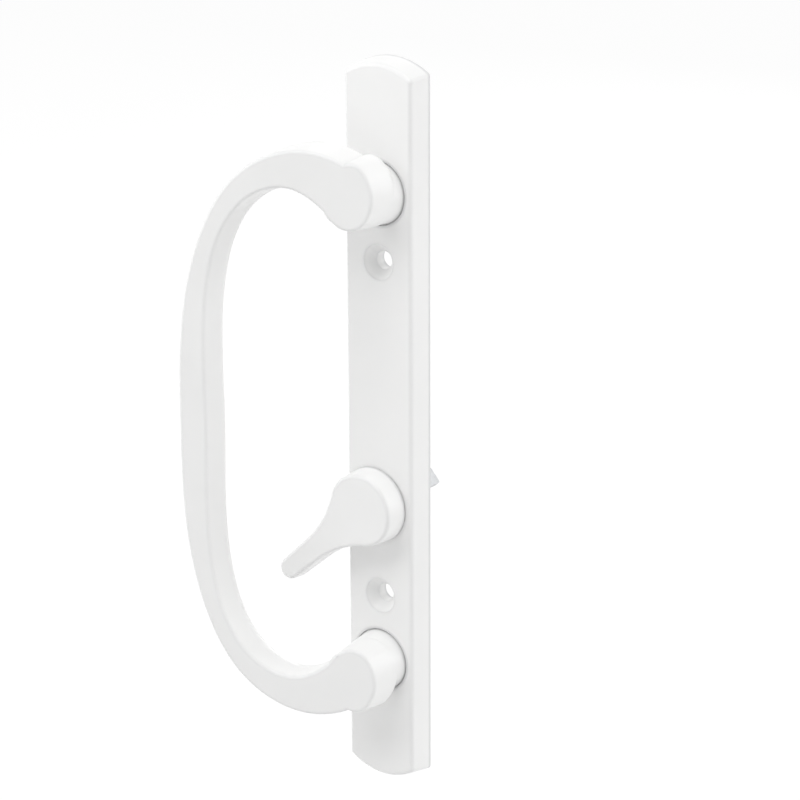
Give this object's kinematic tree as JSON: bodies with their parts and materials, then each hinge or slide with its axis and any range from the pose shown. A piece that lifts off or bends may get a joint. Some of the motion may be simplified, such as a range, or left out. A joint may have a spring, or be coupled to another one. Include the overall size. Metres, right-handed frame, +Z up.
{
  "type": "sliding patio door handle",
  "caption": "White cast pull handle for a sliding patio door: long hollow backplate, tilted D-shaped grip and a turning thumb lever with its tailpiece.",
  "frame": {"origin": "midway between the two mounting holes, on the backplate's back rim plane", "axes": "+Z up along the backplate, -Y out of the door towards the hand, the grip's loop to -X"},
  "size_m": [0.0617, 0.0563, 0.215],
  "materials": {
    "white_paint": "smooth satin paint",
    "zinc_plated_steel": "zinc plated"
  },
  "bodies": {
    "handle": {"backplate": "white_paint", "pull_grip": "white_paint", "grip_screws": "zinc_plated_steel"},
    "lever": {"thumb_lever": "white_paint", "tailpiece": "zinc_plated_steel", "tailpiece_pin": "zinc_plated_steel", "retaining_ring": "zinc_plated_steel", "spring_washer": "zinc_plated_steel"}
  },
  "joints": [
    {"name": "lever_turn", "type": "hinge", "parent": "handle", "child": "lever", "pos_m": [0, -0.0065, -0.0207], "axis": [0, 1, 0], "range_deg": [0, 90]}
  ]
}
